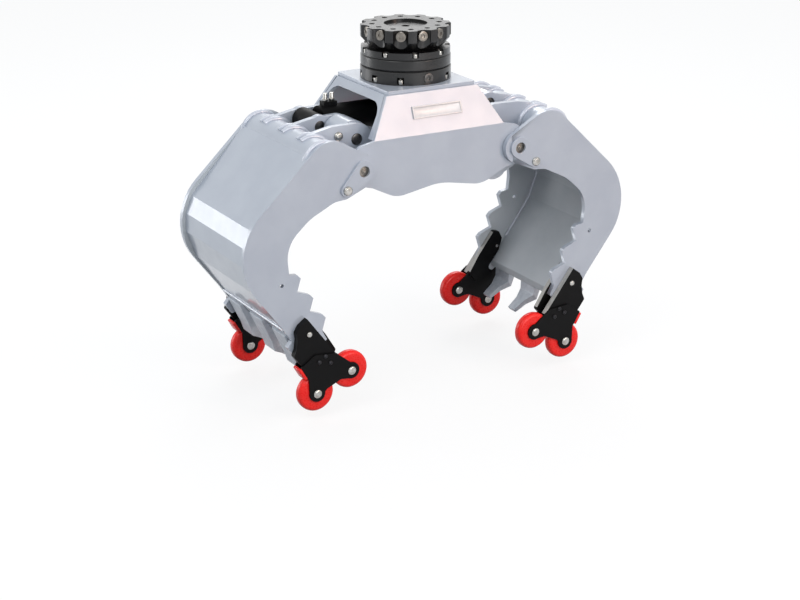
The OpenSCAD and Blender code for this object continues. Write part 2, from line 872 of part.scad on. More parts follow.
// Two discs and the plate between their outer tangents
module strap(a, ra, b, rb) {
    along = atan2(b[1] - a[1], b[0] - a[0]);
    spread = acos((ra - rb) / norm(b - a));
    translate(a)
        circle(r = ra);
    translate(b)
        circle(r = rb);
    polygon([a + ra * [cos(along + spread), sin(along + spread)],
             a + ra * [cos(along - spread), sin(along - spread)],
             b + rb * [cos(along - spread), sin(along - spread)],
             b + rb * [cos(along + spread), sin(along + spread)]]);
}

module keepers() {
    color("lightsteelblue")
    both_sides()
        difference() {
            plate(-keeper_out, -side_out)
                strap(pin_c, 32, keeper_bolt_c, 19);
            bar(pin_c, keeper_hole_d, -keeper_out - 1, -side_out + 1);
            bar(keeper_bolt_c, keeper_bolt_d + 0.02, -keeper_out - 1, -side_out + 1);
        }
}

module bolts(in_lug) {
    color("silver")
    if (in_lug)
        bolt(lug_bolt_c, lug_bolt_d, -lug_pitch - lug_t / 2, -lug_pitch + lug_t / 2);
    color("silver")
    both_sides() {
        for (c = carrier_screws_at)
            bolt(c, carrier_screw_d, -carrier_out, -cheek_out + 12);
        bolt(keeper_bolt_c, keeper_bolt_d, -keeper_out, -side_in);
        bolt(cheek_bolt_c, bracket_bolt_d, -cheek_out, -inner_cheek_in);
    }
}

module bolt(c, d, head_y, end_y) {
    bar(c, d, head_y, end_y);
    translate([c[0], head_y, c[1]])
        dome_head(d * 1.7, d * 0.6);
}

// Roller brackets: two cheeks bolted through the jaw's tip, a carrier of two plates, and two
// rollers on bolted axles

cheek_outline = [[434, -753, 6], [452, -763, 6], [484, -786, 8], [496, -806, 6], [493, -828, 0],
                 [497, -856, 3], [505, -876, 5], [478, -912, 8], [431, -928, 6], [401, -928, 6],
                 [375, -920, 4], [361.7, -903.2, 0], [344, -892, 3], [381, -843, 0]];
inner_cheek_outline = [[442, -761, 8], [462, -766, 6], [474, -790, 6], [462, -828, 8],
                       [424, -879, 4], [428, -910, 4], [401, -926, 6], [374, -920, 4],
                       [350, -893, 8], [384, -838, 0]];

module cheeks() {
    color("black")
    both_sides() {
        difference() {
            plate(-cheek_out, -side_out - 0.4)
                polygon(rounded(cheek_outline));
            bar(cheek_bolt_c, bracket_bolt_d + 0.02, -cheek_out - 1, -side_out + 1);
            for (c = carrier_screws_at)
                bar(c, carrier_screw_d + 0.02, -cheek_out - 1, -cheek_out + 13);
        }
        difference() {
            plate(-inner_cheek_out, -inner_cheek_in)
                polygon(rounded(inner_cheek_outline));
            bar(cheek_bolt_c, bracket_bolt_d + 0.02, -inner_cheek_out - 1, -inner_cheek_in + 1);
        }
    }
}

module carrier_outline() {
    difference() {
        union() {
            translate(roller_inner_c)
                circle(r = carrier_end_r);
            translate(roller_outer_c)
                circle(r = carrier_end_r);
            polygon(rounded([[352, -902, 8], [372, -886, 0], [440, -880, 8],
                             [carrier_edge_a[0], carrier_edge_a[1], 3],
                             [carrier_edge_b[0], carrier_edge_b[1], 10], [458, -1004, 0],
                             [430, -1024, 0], [404, -992, 8], [356, -970, 10],
                             [318, -974, 0], [298, -944, 0]]));
        }
        for (c = [roller_inner_c, roller_outer_c])
            translate(c)
                circle(d = axle_d - 4 + 0.02);
    }
}

// Tip of a side plate with a little clearance, cut out of the inner carrier plate
tip_clear = [[386, -847.5], [445.4, -904], [464, -891.6], [560, -760], [440, -760]];

module carriers() {
    color("black")
    both_sides() {
        plate(-carrier_in - carrier_t, -carrier_in)
            difference() {
                carrier_outline();
                polygon(tip_clear);
            }
        plate(-carrier_out, -carrier_out + carrier_t)
            difference() {
                carrier_outline();
                for (c = carrier_screws_at)
                    translate(c)
                        circle(d = carrier_screw_d + 0.02);
            }
    }
}

module roller_axles() {
    color("silver")
    both_sides()
        for (c = [roller_inner_c, roller_outer_c]) {
            bar(c, axle_d - 4, -carrier_out, -carrier_in);
            bar(c, axle_d, -roller_out - roller_gap + 0.1, -roller_in + roller_gap - 0.1);
            translate([c[0], -carrier_out, c[1]])
                dome_head(axle_d + 2, dome_h);
            translate([c[0], -carrier_in, c[1]])
                mirror([0, 1, 0])
                    dome_head(axle_d + 2, dome_h);
        }
}

module guard_pads() {
    run = unit(carrier_edge_a, carrier_edge_b);
    out = left_of(run);
    color("red")
    both_sides()
        plate(-carrier_out, -carrier_in)
            polygon([for (q = [[3, 0.3], [42, 0.3], [42, pad_t - 2], [40, pad_t], [6, pad_t],
                               [3, pad_t - 2]])
                carrier_edge_a + q[0] * run + q[1] * out]);
}

module roller(c, side_of, far) {
    w = roller_w / 2;
    r = roller_d / 2;
    color("red")
    jaw(side_of)
        translate([c[0], (far ? 1 : -1) * (roller_in + roller_out) / 2, c[1]])
            rotate([90, 0, 0])
                rotate_extrude($fn = 64)
                    polygon(concat([[axle_d / 2 + axle_clear, -w]],
                        corner([axle_d / 2, -w], [r, -w], [r, w], roller_round, 4),
                        corner([r, -w], [r, w], [axle_d / 2, w], roller_round, 4),
                        [[axle_d / 2 + axle_clear, w]]));
}

// Hydraulic cylinder between the jaws, behind the middle lugs, and the link in front of them

// Over the jaws' travel the pins wander in the two open bores, so these lie off the pins' rest
// places
rod_bore_shift = [-1.6, 0];
link_bore_shift = [1.9, 3.6];
barrel_start = -cyl_pin[0] + cyl_eye_r - 4;
barrel_end = 150;
port_block_x = -228;
port_block_h = 12;
fitting_pitch = 22;
fitting_d = 13;
fitting_h = 24;
gland_end = 186;
piston_at = -150;
piston_len = 40;

module along_x(d, x_from, x_to) {
    translate([x_from, bay_mid, cyl_pin[1]])
        rotate([0, 90, 0])
            cylinder(d = d, h = x_to - x_from);
}

module cylinder_barrel() {
    color("dimgray")
    difference() {
        union() {
            along_x(barrel_d, barrel_start, barrel_end);
            bar([-cyl_pin[0], cyl_pin[1]], 2 * cyl_eye_r, bay_mid - eye_w / 2, bay_mid + eye_w / 2);
            // port block near the eye, and the boss of the gland end's port
            translate([port_block_x - 22, bay_mid - 14, cyl_pin[1]])
                cube([44, 28, barrel_d / 2 + port_block_h]);
            translate([barrel_end - 24, bay_mid, cyl_pin[1]])
                cylinder(d = 26, h = barrel_d / 2 + 9);
        }
        along_x(bore_d, barrel_start + 20, barrel_end + 1);
        bar([-cyl_pin[0], cyl_pin[1]], lug_pin_d + 2 * cyl_clear, 0, lug_pitch);
    }
}

module cylinder_fittings() {
    color("silver")
    for (s = [-1, 1])
        translate([port_block_x + s * fitting_pitch / 2, bay_mid,
                   cyl_pin[1] + barrel_d / 2 + port_block_h]) {
            cylinder(d = fitting_d + 6, h = 7, $fn = 6);
            translate([0, 0, 7])
                cylinder(d = fitting_d, h = fitting_h - 7);
        }
}

module cylinder_gland() {
    color("dimgray")
    difference() {
        union() {
            along_x(barrel_d + 6, barrel_end, gland_end);
            along_x(bore_d - 0.1, barrel_end - 18, barrel_end + 1);
        }
        along_x(rod_d + 2 * cyl_clear, barrel_end - 20, gland_end + 1);
    }
}

module piston() {
    color("gray")
    difference() {
        along_x(bore_d - 2 * cyl_clear, piston_at - piston_len, piston_at);
        along_x(rod_d - 10, piston_at - piston_len - 1, piston_at + 1);
    }
}

module piston_rod() {
    color("white")
    difference() {
        union() {
            along_x(rod_d, piston_at, cyl_pin[0] - cyl_eye_r + 4);
            along_x(rod_d - 10.02, piston_at - piston_len, piston_at + 1);
            bar([cyl_pin[0], cyl_pin[1]], 2 * cyl_eye_r, bay_mid - eye_w / 2, bay_mid + eye_w / 2);
        }
        bar(cyl_pin + rod_bore_shift, lug_pin_d + 2 * rod_clear, 0, lug_pitch);
    }
}

module sync_link() {
    a = [-link_upper[0], link_upper[1]];
    b = link_lower;
    side = link_bar_h / 2 * left_of(unit(a, b));
    color("lightsteelblue")
    difference() {
        union() {
            bar(a, 2 * link_eye_r, -bay_mid - eye_w / 2, -bay_mid + eye_w / 2);
            bar(b, 2 * link_eye_r, -bay_mid - eye_w / 2, -bay_mid + eye_w / 2);
            plate(-bay_mid - 22, -bay_mid + 22)
                polygon([a + side, a - side, b - side, b + side]);
        }
        bar(a, lug_pin_d + 2 * cyl_clear, -lug_pitch, 0);
        bar(b + link_bore_shift, lug_pin_d + 2 * link_clear, -lug_pitch, 0);
    }
}

top_coupling();
coupling_screws();
swivel_shaft();
flange_bolts();
rotator_housing();
base_ring();
base_bolts();
port_plugs();
top_plate();
front_plate();
rear_plate();
end_plates();
nameplate();
frame_bushes();
manifold();
manifold_fittings();
side_pair(-1, false);  // left_front_side
side_pair(-1, true);  // left_rear_side
jaw(-1) back_sheet();  // left_back_sheet
jaw(-1) torque_tube();  // left_torque_tube
jaw(-1) lugs(false);  // left_lugs
jaw(-1) lip();  // left_lip
jaw(-1) digging_teeth();  // left_digging_teeth
jaw(-1) jaw_pins();  // left_jaw_pins
jaw(-1) keepers();  // left_keepers
jaw(-1) lug_pins(link_upper);  // left_lug_pins
jaw(-1) bolts(true);  // left_bolts
jaw(-1) cheeks();  // left_cheeks
jaw(-1) carriers();  // left_carriers
jaw(-1) roller_axles();  // left_roller_axles
jaw(-1) guard_pads();  // left_guard_pads
side_pair(1, false);  // right_front_side
side_pair(1, true);  // right_rear_side
jaw(1) back_sheet();  // right_back_sheet
jaw(1) torque_tube();  // right_torque_tube
jaw(1) lugs(true);  // right_lugs
jaw(1) lip();  // right_lip
jaw(1) digging_teeth();  // right_digging_teeth
jaw(1) jaw_pins();  // right_jaw_pins
jaw(1) keepers();  // right_keepers
jaw(1) lug_pins(link_lower);  // right_lug_pins
jaw(1) bolts(false);  // right_bolts
jaw(1) cheeks();  // right_cheeks
jaw(1) carriers();  // right_carriers
jaw(1) roller_axles();  // right_roller_axles
jaw(1) guard_pads();  // right_guard_pads
cylinder_barrel();
cylinder_gland();
cylinder_fittings();
piston();
piston_rod();
sync_link();
roller(roller_inner_c, -1, false);  // roller_left_front_inner
roller(roller_outer_c, -1, false);  // roller_left_front_outer
roller(roller_inner_c, -1, true);  // roller_left_rear_inner
roller(roller_outer_c, -1, true);  // roller_left_rear_outer
roller(roller_inner_c, 1, false);  // roller_right_front_inner
roller(roller_outer_c, 1, false);  // roller_right_front_outer
roller(roller_inner_c, 1, true);  // roller_right_rear_inner
roller(roller_outer_c, 1, true);  // roller_right_rear_outer
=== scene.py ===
# %% [markdown]
# # Looks of a hydraulic grab for manhole rings
# A grab like this hangs from a crane. Two welded jaws swing on pins in a box frame, a cylinder
# and a link hidden in the frame move them together, and a rotator on top turns the whole tool.
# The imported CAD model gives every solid. This scene adds what a CAD model leaves out: rounded
# plate edges, weld beads, cast teeth, gloss paint, bright zinc and a studio.
# Lengths in this script are written in millimetres and turned into metres by one constant.

import json
import math

import bmesh
import bpy
from mathutils import Matrix, Vector

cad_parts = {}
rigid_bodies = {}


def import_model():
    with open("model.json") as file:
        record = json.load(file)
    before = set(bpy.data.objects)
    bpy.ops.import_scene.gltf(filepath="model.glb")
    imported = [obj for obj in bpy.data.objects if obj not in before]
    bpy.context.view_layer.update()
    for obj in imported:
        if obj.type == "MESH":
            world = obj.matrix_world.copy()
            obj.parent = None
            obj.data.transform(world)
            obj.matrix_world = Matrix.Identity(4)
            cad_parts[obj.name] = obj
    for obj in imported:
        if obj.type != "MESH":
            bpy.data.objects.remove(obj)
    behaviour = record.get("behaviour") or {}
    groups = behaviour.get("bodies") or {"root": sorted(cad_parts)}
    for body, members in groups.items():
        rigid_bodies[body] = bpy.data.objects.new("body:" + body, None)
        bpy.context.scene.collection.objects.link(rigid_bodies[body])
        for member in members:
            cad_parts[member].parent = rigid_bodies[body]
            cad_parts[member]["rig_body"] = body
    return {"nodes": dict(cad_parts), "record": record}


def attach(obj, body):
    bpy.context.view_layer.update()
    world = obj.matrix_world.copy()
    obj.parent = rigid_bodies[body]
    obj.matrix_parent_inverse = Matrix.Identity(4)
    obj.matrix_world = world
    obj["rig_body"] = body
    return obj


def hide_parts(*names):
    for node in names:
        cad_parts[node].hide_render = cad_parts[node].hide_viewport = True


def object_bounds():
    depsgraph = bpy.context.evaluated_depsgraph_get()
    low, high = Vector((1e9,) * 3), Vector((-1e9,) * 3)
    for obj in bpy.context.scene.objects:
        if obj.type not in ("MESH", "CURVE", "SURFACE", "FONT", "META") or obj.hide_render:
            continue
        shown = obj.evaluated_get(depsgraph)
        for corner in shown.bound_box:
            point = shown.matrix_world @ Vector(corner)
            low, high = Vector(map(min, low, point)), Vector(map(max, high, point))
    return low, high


MM = 0.001
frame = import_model()
cad_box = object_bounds()
slot_of = {part["node"]: part["material_slot"] for part in frame["record"]["subparts"]}
body_of = {name: obj["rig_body"] for name, obj in frame["nodes"].items()}

# %% [markdown]
# ## Small helpers for materials
# Colours are written as they look on screen, in sRGB hex, and one function turns them into the
# linear values that the shader needs. Patterns are sized in millimetres: a noise texture of
# scale s has features about 1/s wide, in metres, because Object coordinates are in metres here.


# %%
# Colour and node helpers
def linear(text):
    """An sRGB hex colour as linear red, green, blue and alpha."""
    parts = [int(text[i:i + 2], 16) / 255 for i in (1, 3, 5)]
    return [c / 12.92 if c <= 0.04045 else ((c + 0.055) / 1.055) ** 2.4 for c in parts] + [1.0]


def add(tree, kind, inputs=(), **settings):
    """A new node in the tree. Inputs are (socket, value or output socket) pairs."""
    made = tree.nodes.new(kind)
    for key, value in settings.items():
        setattr(made, key, value)
    for key, value in inputs:
        if isinstance(value, bpy.types.NodeSocket):
            tree.links.new(value, made.inputs[key])
        else:
            made.inputs[key].default_value = value
    return made


def new_material(name):
    """A material with an empty tree but for its shader; returns (material, tree, shader)."""
    material = bpy.data.materials.new(name)
    material.use_nodes = True
    tree = material.node_tree
    tree.nodes.clear()
    shader = add(tree, "ShaderNodeBsdfPrincipled")
    output = add(tree, "ShaderNodeOutputMaterial")
    tree.links.new(shader.outputs["BSDF"], output.inputs["Surface"])
    return material, tree, shader


def noise(tree, size_mm, detail=2.0, stretch=(1, 1, 1)):
    """Noise in object space whose features are about size_mm wide."""
    place = add(tree, "ShaderNodeTexCoord")
    shape = add(tree, "ShaderNodeMapping",
                [("Vector", place.outputs["Object"]), ("Scale", stretch)])
    return add(tree, "ShaderNodeTexNoise",
               [("Vector", shape.outputs["Vector"]), ("Scale", 1 / (size_mm * MM)),
                ("Detail", detail), ("Roughness", 0.5)]).outputs["Fac"]


def ramp(tree, factor, stops):
    """A colour ramp from (position, hex colour) stops."""
    made = add(tree, "ShaderNodeValToRGB", [("Fac", factor)])
    elements = made.color_ramp.elements
    while len(elements) < len(stops):
        elements.new(0.5)
    for element, (position, colour) in zip(elements, stops):
        element.position = position
        element.color = linear(colour)
    return made.outputs["Color"]


def spread(tree, factor, low, high, dark=0.3, light=0.7):
    """A factor between dark and light, stretched to the range low to high."""
    return add(tree, "ShaderNodeMapRange",
               [("Value", factor), ("From Min", dark), ("From Max", light),
                ("To Min", low), ("To Max", high)]).outputs["Result"]


def bump(tree, shader, height, depth_mm, strength=1.0, after=None):
    """Bump of depth_mm from a height factor, on top of an earlier bump."""
    made = add(tree, "ShaderNodeBump",
               [("Height", height), ("Distance", depth_mm * MM), ("Strength", strength)])
    if after is not None:
        tree.links.new(after.outputs["Normal"], made.inputs["Normal"])
    tree.links.new(made.outputs["Normal"], shader.inputs["Normal"])
    return made


print("A mid grey #808080 is", round(linear("#808080")[0], 3), "in linear light")

# %% [markdown]
# ## Paint
# The welded frame and the jaws carry two-part gloss paint in a light blue-grey. It is a coloured
# base with a fine aluminium flake and a thin clear gloss of its own, so the shader is partly
# metallic below and has a smooth coat on top. The flake is why one facet of a bent sheet flashes
# white while the next one stays dull. Sprayed paint has a faint orange peel, about 2 mm from
# crest to crest, and the sheets under it are never quite flat. The weld beads take a lighter,
# glossier copy of the paint, with the ripples of the weld; the lighter shade is a painted
# highlight. The jaws' inner faces take a dull copy without flake or coat, toned to how they look
# in shade: a painted shade. The rotator is black gloss paint and the roller brackets are matt
# black.

# %%
# Light blue-grey gloss paint
def paint(name, dark, light, flake, rough_low, rough_high, coat, coat_rough, level=0.5,
          ripple_mm=0):
    """Sprayed paint that drifts between two shades. flake is the metallic share of the base,
    level is its reflection at right angles, and ripple_mm is the length of a weld's ripples."""
    material, tree, shader = new_material(name)
    shader.inputs["Metallic"].default_value = flake
    shader.inputs["Specular IOR Level"].default_value = level
    drift = noise(tree, 90, 3)
    tree.links.new(ramp(tree, drift, [(0.35, dark), (0.65, light)]), shader.inputs["Base Color"])
    tree.links.new(spread(tree, noise(tree, 35, 3), rough_low, rough_high),
                   shader.inputs["Roughness"])
    shader.inputs["Coat Weight"].default_value = coat
    shader.inputs["Coat Roughness"].default_value = coat_rough
    flat = bump(tree, shader, noise(tree, 140, 1), 0.10)
    peel = bump(tree, shader, noise(tree, 2.2, 1), 0.012, after=flat)
    if ripple_mm:
        bump(tree, shader, noise(tree, ripple_mm, 1), 0.12, after=peel)
    return material


# Shades, flake, roughness from and to, coat and its roughness, level, ripple
PAINTS = {"grey_paint": ("#B1B8C4", "#B7BEC9", 0.14, 0.28, 0.36, 0.5, 0.05),
          # weld: a lighter, glossier copy of grey_paint; the lighter shade is a painted highlight
          # on the beads
          "weld": ("#C2C8D4", "#CCD1DC", 0.14, 0.20, 0.28, 0.8, 0.05, 0.5, 5.0),
          # inner paint: a dull copy of grey_paint for the jaws' inner faces, toned to their shade:
          # painted shade
          "inner_paint": ("#C8CDD1", "#D0D4D8", 0.0, 0.50, 0.62, 0.0, 0.2, 0.15),
          "black_gloss": ("#070708", "#0C0C0D", 0.0, 0.26, 0.36, 0.35, 0.10, 0.4),
          "black_paint": ("#060607", "#09090A", 0.0, 0.42, 0.55, 0.0, 0.2, 0.12)}
materials = {name: paint(name, *values) for name, values in PAINTS.items()}
print("Paints:", ", ".join(materials))

# %% [markdown]
# ## Metals
# Fasteners are zinc plated, pins are ground steel, the bushes are bronze and the piston rod is
# hard chrome. A metal's colour is its reflection, so what tells these apart is colour and
# roughness: zinc is slightly cloudy, ground steel has fine lines round the pin, chrome is
# almost a mirror. The nameplate is lacquered, so it is only partly metallic.


# %%
# Zinc, ground steel, bronze, chrome, bare plate, cast and sawn steel
def metal(name, dark, light, rough_low, rough_high, grain_mm, grain_depth, stretch=(1, 1, 1),
          share=1.0):
    """A metal with a cloudy tone and a fine grain; share is how metallic it is."""
    material, tree, shader = new_material(name)
    shader.inputs["Metallic"].default_value = share
    tree.links.new(ramp(tree, noise(tree, 9, 3), [(0.3, dark), (0.7, light)]),
                   shader.inputs["Base Color"])
    grain = noise(tree, grain_mm, 3, stretch)
    tree.links.new(spread(tree, grain, rough_low, rough_high), shader.inputs["Roughness"])
    bump(tree, shader, grain, grain_depth)
    return material


def cast_metal(name, dark, light):
    """Sawn and cast steel: a rough, dull skin about 1.6 mm in grain."""
    material, tree, shader = new_material(name)
    shader.inputs["Metallic"].default_value = 0.2
    skin = noise(tree, 1.6, 4)
    tree.links.new(ramp(tree, noise(tree, 14, 4), [(0.3, dark), (0.7, light)]),
                   shader.inputs["Base Color"])
    tree.links.new(spread(tree, skin, 0.38, 0.55), shader.inputs["Roughness"])
    bump(tree, shader, skin, 0.05)
    return material


# Shades, roughness from and to, grain in mm, grain depth in mm, stretch, metallic share
METALS = {"zinc": ("#97958F", "#C4C3C0", 0.14, 0.26, 1.5, 0.008),
          "pin_steel": ("#716C66", "#8E8982", 0.22, 0.36, 0.8, 0.01, (1, 0.15, 1)),
          "bronze": ("#A8803F", "#C79A55", 0.26, 0.40, 1.2, 0.01),
          "hard_chrome": ("#DADCE0", "#ECEDEF", 0.05, 0.10, 0.6, 0.002, (0.1, 1, 1)),
          "bare_plate": ("#D6D2D2", "#DEDADA", 0.30, 0.36, 0.7, 0.002, (0.06, 1, 1), 0.15),
          "dark_steel": ("#4C4B4A", "#656362", 0.24, 0.38, 0.8, 0.01),
          "black_screw": ("#2A2A2C", "#3A3A3D", 0.30, 0.42, 0.8, 0.01)}
# cut edge: light steel on the cheeks' cut faces, partly bare steel and partly a painted highlight
CAST = {"cut_edge": ("#A4A29E", "#B9B7B3"), "tooth_steel": ("#BDC3CC", "#D3D8DF")}
materials.update({name: metal(name, *values) for name, values in METALS.items()})
materials.update({name: cast_metal(name, *values) for name, values in CAST.items()})
print("Materials so far:", len(materials))

# %% [markdown]
# ## Polyurethane and rubber
# The rollers and the guard pads are cast polyurethane, dyed in the mass. Light enters it a
# little, which keeps the red full even in shade, and its skin is smooth from the mould.


# %%
# Red polyurethane and black rubber
def moulded(name, dark, light, rough_low, rough_high, depth, glow):
    """A moulded skin in one colour; glow is the share of light that enters the material."""
    material, tree, shader = new_material(name)
    tree.links.new(ramp(tree, noise(tree, 25, 3), [(0.3, dark), (0.7, light)]),
                   shader.inputs["Base Color"])
    tree.links.new(spread(tree, noise(tree, 6, 3), rough_low, rough_high),
                   shader.inputs["Roughness"])
    shader.inputs["Specular IOR Level"].default_value = 0.35
    shader.inputs["Subsurface Weight"].default_value = glow
    shader.inputs["Subsurface Scale"].default_value = 0.004
    bump(tree, shader, noise(tree, 1.2, 2), depth)
    return material


materials["red_polyurethane"] = moulded("red_polyurethane", "#FA1F1A", "#FF2E27", 0.24, 0.34,
                                        0.012, 0.05)
materials["rubber"] = moulded("black_rubber", "#141415", "#1C1C1D", 0.5, 0.65, 0.03, 0.0)
missing = sorted(set(slot_of.values()) - set(materials))
print("Slots without a material:", missing)

# %% [markdown]
# ## Rounded edges
# No plate leaves the workshop with a knife edge: cut edges are ground and painted over, castings
# come with radii. Each CAD node is copied into a new piece. Its tessellated triangles are merged
# back into flat faces, edges sharper than 35 degrees are bevelled by a millimetre or so, and the
# result is kept only if it is closed and its volume hardly changed. Press-brake folds are blunter
# than that but long, so they are found by their length and get a small radius too. The seam
# where the back sheet is welded flush to the cutting edge bar stays closed, without a bevel.
# A few nodes are worked further: the bracket cheeks are cut straight, the cutting edge bar is
# ground, the nameplate gets its rim, and single faces get another material: the jaws' inner faces
# a dull copy of the paint that paints their shade, and the cheeks' cut faces a light steel that is
# partly bare steel and partly a painted highlight.


# %%
# Bevelled copies of the CAD nodes
# Bevel width in mm for each slot
EDGE = {"zinc": 0.6, "pin_steel": 0.8, "bronze": 0.3, "hard_chrome": 0.6, "red_polyurethane": 1.2,
        "grey_paint": 1.2, "black_paint": 1.2, "tooth_steel": 1.6, "bare_plate": 0.7}
CORNER, FOLD = math.radians(35), math.radians(9)
FOLD_LONG = 150 * MM
FOLDED = ("front_plate", "rear_plate", "left_back_sheet", "right_back_sheet")
# The flush seam between back sheet and bar: its nodes, its least length, its lowest and highest z
FLUSH = ("left_back_sheet", "right_back_sheet", "left_lip", "right_lip")
SEAM_LONG, SEAM_LOW, SEAM_HIGH = 300 * MM, -806 * MM, -784 * MM
pieces = {}


def finish_mesh(obj, look, body, angle=32):
    """Smooth shading with crisp creases, a material and a body."""
    obj.data.polygons.foreach_set("use_smooth", [True] * len(obj.data.polygons))
    obj.data.set_sharp_from_angle(angle=math.radians(angle))
    obj.data.materials.clear()
    obj.data.materials.append(materials[look])
    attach(obj, body)
    pieces[obj.name] = obj
    return obj


def object_from(bm, name):
    """A new object from a bmesh, linked to the scene."""
    mesh = bpy.data.meshes.new(name)
    bm.to_mesh(mesh)
    bm.free()
    obj = bpy.data.objects.new(name, mesh)
    bpy.context.scene.collection.objects.link(obj)
    return obj


def merged(name):
    """The CAD node's triangles merged into one skin of flat faces."""
    bm = bmesh.new()
    bm.from_mesh(frame["nodes"][name].data)
    bmesh.ops.remove_doubles(bm, verts=bm.verts[:], dist=2e-6)
    bmesh.ops.dissolve_limit(bm, angle_limit=math.radians(0.3), verts=bm.verts[:],
                             edges=bm.edges[:])
    return bm


def wants_bevel(name, edge):
    """Whether an edge of a node is a corner or a long fold, and not a flush weld seam."""
    if len(edge.link_faces) != 2:
        return False
    middle = (edge.verts[0].co + edge.verts[1].co) / 2
    if name in FLUSH and edge.calc_length() > SEAM_LONG and SEAM_LOW < middle.z < SEAM_HIGH:
        return False
    turn = abs(edge.calc_face_angle())
    return turn > CORNER or (name in FOLDED and edge.calc_length() > FOLD_LONG and turn > FOLD)


def softened(name, bm):
    """A node's bmesh with its edges bevelled, or None where that fails."""
    before = bm.calc_volume()
    bmesh.ops.bevel(bm, geom=[e for e in bm.edges if wants_bevel(name, e)],
                    offset=EDGE[slot_of[name]] * MM, offset_type="OFFSET", affect="EDGES",
                    segments=2, profile=0.5, material=-1, clamp_overlap=True)
    after = bm.calc_volume()
    closed = all(len(e.link_faces) == 2 for e in bm.edges)
    if not closed or abs(after - before) > 0.03 * abs(before):
        bm.free()
        return None
    return bm


def split(bm, test):
    """Takes the solids whose middle passes the test out of a bmesh into a new one."""
    loose = set(bm.verts)
    taken = []
    while loose:
        solid = [loose.pop()]
        for vert in solid:
            near = [e.other_vert(vert) for e in vert.link_edges]
            solid.extend(v for v in near if v in loose)
            loose.difference_update(near)
        centre = sum((v.co for v in solid), Vector()) / len(solid)
        if test(centre):
            taken.extend(solid)
    picked = bm.copy()
    keep = {v.index for v in taken}
    rest = [v for v in picked.verts if v.index not in keep]
    bmesh.ops.delete(picked, geom=rest, context="VERTS")
    bmesh.ops.delete(bm, geom=taken, context="VERTS")
    return picked


# Inner edge of the bracket cheeks in x and z: a point on it and its normal, for the right jaw
CHEEK_AT, CHEEK_NORMAL = (460, -768), (-0.8, 0.6)
# Inner lower edge of the cutting edge bar in x and z, its least length, and the bevel ground on it
BAR_AT, BAR_LONG, BAR_BEVEL = (432.8, -875.3), 380, 15
# Rim of the nameplate: its width and height
RIM_W, RIM_H = 4.5, 1.6


def side_of(name):
    """-1 for a node of the left jaw and 1 for one of the right."""
    return -1 if name.startswith("left") else 1


def trimmed_cheeks(bm, side):
    """The outer cheeks of a jaw with a straight inner edge, cut along one plane."""
    (x, z), (nx, nz) = CHEEK_AT, CHEEK_NORMAL
    cut = bmesh.ops.bisect_plane(
        bm, geom=bm.verts[:] + bm.edges[:] + bm.faces[:], dist=1e-6, clear_outer=True,
        plane_co=Vector((side * x, 0, z)) * MM, plane_no=(side * nx, 0, nz))
    bmesh.ops.holes_fill(bm, edges=[e for e in bm.edges if len(e.link_faces) == 1])
    print("cheek cut on", len(cut["geom_cut"]), "elements")
    return bm


def on_bar_edge(edge):
    """Whether an edge is the inner lower one of the cutting edge bar."""
    return edge.calc_length() > BAR_LONG * MM and all(
        abs(abs(v.co.x) - BAR_AT[0] * MM) < 2 * MM and abs(v.co.z - BAR_AT[1] * MM) < 2 * MM
        for v in edge.verts)


def ground_bar(bm):
    """The cutting edge bar with a wide ground bevel along its inner lower edge."""
    edges = [e for e in bm.edges if on_bar_edge(e)]
    bmesh.ops.bevel(bm, geom=edges, offset=BAR_BEVEL * MM, offset_type="OFFSET", affect="EDGES",
                    segments=1, profile=0.5, material=-1)
    print("bar edges ground:", len(edges))
    return bm


def rimmed_plate(bm):
    """The blank nameplate with a raised rim: its outer face is inset and sunk."""
    face = max(bm.faces, key=lambda f: f.calc_area() * -f.normal.y)
    bmesh.ops.inset_region(bm, faces=[face], thickness=RIM_W * MM, depth=-RIM_H * MM)
    return bm


# Finishes that differ from the node's own slot: dull link pins and screws, and the glossy rotator
LOOK = {"left_lug_pins": "dark_steel", "right_lug_pins": "dark_steel", "port_plugs": "dark_steel",
        "coupling_screws": "pin_steel"}
LOOK.update({name: "black_gloss" for name in
             ("top_coupling", "swivel_shaft", "rotator_housing", "base_ring")})


def second_look(obj, look, test):
    """Gives the faces that pass the test another material."""
    obj.data.materials.append(materials[look])
    faces = [face for face in obj.data.polygons if test(face)]
    for face in faces:
        face.material_index = 1
    print(obj.name, "faces in", look + ":", len(faces))


def paint_shade_inside(obj, name):
    """The jaw's inner faces get a dull copy of the paint, toned to how they look in shade: a
    painted shade.
    """
    if name.endswith("side"):
        second_look(obj, "inner_paint",
                    lambda f: f.normal.y * f.center.y < -0.9 * abs(f.center.y))
    else:
        second_look(obj, "inner_paint",
                    lambda f: f.normal.x * side_of(name) < -0.15 and abs(f.normal.y) < 0.3)


def bare_edges_and_highlight(obj, name):
    """The bracket plates' inner cut faces get a light steel colour: partly the bare steel of the
    saw cut, partly a painted highlight of the light those edges catch.
    """
    facing = Vector((side_of(name) * CHEEK_NORMAL[0], 0, CHEEK_NORMAL[1]))
    second_look(obj, "cut_edge",
                lambda f: f.normal.dot(facing) > 0.985 and f.area > 300 * MM * MM)


def bracket_screw(centre):
    """Whether a solid is one of the three small screws in a roller bracket."""
    return 385 * MM < abs(centre.x) < 433 * MM and -918 * MM < centre.z < -882 * MM


def outer_cheek(centre):
    """Whether a cheek is the outer one of its bracket."""
    return abs(centre.y) > 215 * MM


